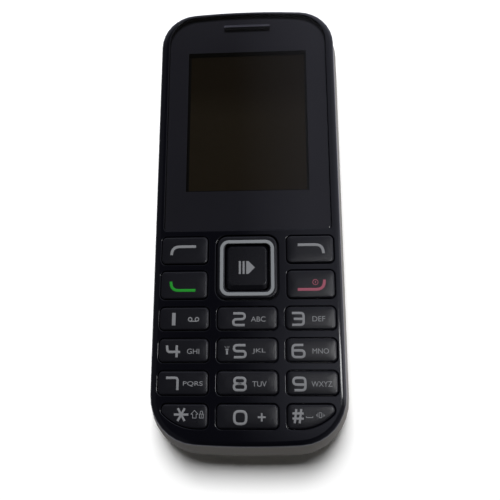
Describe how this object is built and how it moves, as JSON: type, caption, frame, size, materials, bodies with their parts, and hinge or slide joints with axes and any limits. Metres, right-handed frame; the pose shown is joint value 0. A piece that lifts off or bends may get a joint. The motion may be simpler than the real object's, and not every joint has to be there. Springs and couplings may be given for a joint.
{
  "type": "feature phone",
  "caption": "Candybar feature phone with a colour display, navigation ring, keypad, removable back cover and battery, headset and charging sockets, and a torch.",
  "frame": {"origin": "middle of the flat back, at the bottom of the box round the phone", "axes": "+Y along the body to the earpiece end, +Z out of the front face, +X to the right seen from the front"},
  "size_m": [0.045, 0.1075, 0.0131],
  "materials": {
    "front_black": "glossy black moulded plastic",
    "window_glass": "glossy smoked acrylic panel with a clear display area",
    "black_film": "black adhesive film",
    "mesh_black": "fine black woven mesh",
    "housing_black": "matt black moulded plastic",
    "cover_grey": "satin grey moulded plastic with a fine texture",
    "key_black": "satin black keycap plastic",
    "trim_silver": "satin silver plating on plastic",
    "inner_plastic": "unpainted light moulded plastic",
    "silicone": "translucent grey silicone rubber",
    "spring_steel": "thin stainless spring steel",
    "film_clear": "thin milky polyester film",
    "led_white": "white moulded light package or light guide",
    "board_green": "glass-epoxy board with green solder mask",
    "shield_metal": "tinned sheet steel",
    "chip_black": "moulded black epoxy",
    "lcd_glass": "dark liquid crystal glass with polarisers",
    "flex_amber": "amber polyimide flex",
    "foam_black": "black foam rubber",
    "weight_metal": "sintered tungsten and steel shaft",
    "battery_shell": "dark battery wrap",
    "contact_gold": "gold-plated spring bronze",
    "jack_black": "black moulded socket body",
    "lens_clear": "clear acrylic lens",
    "screw_steel": "blackened steel screw"
  },
  "bodies": {
    "phone": {"front_cover": "front_black", "display_window": "window_glass", "window_gasket": "black_film", "earpiece_mesh": "mesh_black", "rear_housing": "housing_black", "keypad_mat": "silicone", "key_domes": "spring_steel", "dome_film": "film_clear", "keypad_leds": "led_white", "main_board": "board_green", "shield_cans": "shield_metal", "board_chips": "chip_black", "sim_holder": "shield_metal", "memory_card_socket": "shield_metal", "lcd_panel": "lcd_glass", "lcd_backlight": "led_white", "lcd_frame": "inner_plastic", "lcd_flex": "flex_amber", "loudspeaker": "chip_black", "loudspeaker_gasket": "foam_black", "earpiece_speaker": "shield_metal", "microphone": "shield_metal", "mic_boot": "foam_black", "motor_can": "shield_metal", "battery_connector": "chip_black", "battery_springs": "contact_gold", "headset_jack": "jack_black", "usb_socket": "shield_metal", "torch_led": "led_white", "torch_lens": "lens_clear", "antenna": "contact_gold", "housing_screws": "screw_steel"},
    "cover": {"battery_cover": "cover_grey"},
    "battery": {"battery": "battery_shell"},
    "motor_weight": {"motor_weight": "weight_metal"},
    "nav_plate": {"nav_plate": "inner_plastic"},
    "nav_ring": {"nav_ring": "key_black", "nav_trim": "trim_silver"},
    "key_soft_left": {"key_soft_left": "key_black"},
    "key_soft_right": {"key_soft_right": "key_black"},
    "key_call": {"key_call": "key_black"},
    "key_end": {"key_end": "key_black"},
    "key_select": {"key_select": "key_black"},
    "key_1": {"key_1": "key_black"},
    "key_2": {"key_2": "key_black"},
    "key_3": {"key_3": "key_black"},
    "key_4": {"key_4": "key_black"},
    "key_5": {"key_5": "key_black"},
    "key_6": {"key_6": "key_black"},
    "key_7": {"key_7": "key_black"},
    "key_8": {"key_8": "key_black"},
    "key_9": {"key_9": "key_black"},
    "key_star": {"key_star": "key_black"},
    "key_0": {"key_0": "key_black"},
    "key_hash": {"key_hash": "key_black"}
  },
  "joints": [
    {"name": "key_soft_left_press", "type": "slide", "parent": "phone", "child": "key_soft_left", "axis": [0, 0, -1], "range_m": [0, 0.0003], "stiffness_N_per_m": 4000},
    {"name": "key_soft_right_press", "type": "slide", "parent": "phone", "child": "key_soft_right", "axis": [0, 0, -1], "range_m": [0, 0.0003], "stiffness_N_per_m": 4000},
    {"name": "key_call_press", "type": "slide", "parent": "phone", "child": "key_call", "axis": [0, 0, -1], "range_m": [0, 0.0003], "stiffness_N_per_m": 4000},
    {"name": "key_end_press", "type": "slide", "parent": "phone", "child": "key_end", "axis": [0, 0, -1], "range_m": [0, 0.0003], "stiffness_N_per_m": 4000},
    {"name": "key_select_press", "type": "slide", "parent": "phone", "child": "key_select", "axis": [0, 0, -1], "range_m": [0, 0.0003], "stiffness_N_per_m": 4000},
    {"name": "key_1_press", "type": "slide", "parent": "phone", "child": "key_1", "axis": [0, 0, -1], "range_m": [0, 0.0003], "stiffness_N_per_m": 4000},
    {"name": "key_2_press", "type": "slide", "parent": "phone", "child": "key_2", "axis": [0, 0, -1], "range_m": [0, 0.0003], "stiffness_N_per_m": 4000},
    {"name": "key_3_press", "type": "slide", "parent": "phone", "child": "key_3", "axis": [0, 0, -1], "range_m": [0, 0.0003], "stiffness_N_per_m": 4000},
    {"name": "key_4_press", "type": "slide", "parent": "phone", "child": "key_4", "axis": [0, 0, -1], "range_m": [0, 0.0003], "stiffness_N_per_m": 4000},
    {"name": "key_5_press", "type": "slide", "parent": "phone", "child": "key_5", "axis": [0, 0, -1], "range_m": [0, 0.0003], "stiffness_N_per_m": 4000},
    {"name": "key_6_press", "type": "slide", "parent": "phone", "child": "key_6", "axis": [0, 0, -1], "range_m": [0, 0.0003], "stiffness_N_per_m": 4000},
    {"name": "key_7_press", "type": "slide", "parent": "phone", "child": "key_7", "axis": [0, 0, -1], "range_m": [0, 0.0003], "stiffness_N_per_m": 4000},
    {"name": "key_8_press", "type": "slide", "parent": "phone", "child": "key_8", "axis": [0, 0, -1], "range_m": [0, 0.0003], "stiffness_N_per_m": 4000},
    {"name": "key_9_press", "type": "slide", "parent": "phone", "child": "key_9", "axis": [0, 0, -1], "range_m": [0, 0.0003], "stiffness_N_per_m": 4000},
    {"name": "key_star_press", "type": "slide", "parent": "phone", "child": "key_star", "axis": [0, 0, -1], "range_m": [0, 0.0003], "stiffness_N_per_m": 4000},
    {"name": "key_0_press", "type": "slide", "parent": "phone", "child": "key_0", "axis": [0, 0, -1], "range_m": [0, 0.0003], "stiffness_N_per_m": 4000},
    {"name": "key_hash_press", "type": "slide", "parent": "phone", "child": "key_hash", "axis": [0, 0, -1], "range_m": [0, 0.0003], "stiffness_N_per_m": 4000},
    {"name": "nav_up_down", "type": "hinge", "parent": "phone", "child": "nav_plate", "pos_m": [0, -0.01253, 0.0091], "axis": [1, 0, 0], "range_deg": [-2, 2], "stiffness_Nm_per_rad": 0.3},
    {"name": "nav_left_right", "type": "hinge", "parent": "nav_plate", "child": "nav_ring", "pos_m": [0, -0.01253, 0.0091], "axis": [0, 1, 0], "range_deg": [-2, 2], "stiffness_Nm_per_rad": 0.3},
    {"name": "cover_off", "type": "slide", "parent": "phone", "child": "cover", "axis": [0, 0, -1], "range_m": [0, 0.03]},
    {"name": "battery_out", "type": "slide", "parent": "phone", "child": "battery", "axis": [0, 0, -1], "range_m": [0, 0.015]},
    {"name": "motor_spin", "type": "hinge", "parent": "phone", "child": "motor_weight", "pos_m": [-0.012, -0.03085, 0.0048], "axis": [1, 0, 0], "continuous": true}
  ],
  "couplings": [
    {"joint": "battery_out", "follows": "cover_off", "ratio": 0.5}
  ]
}
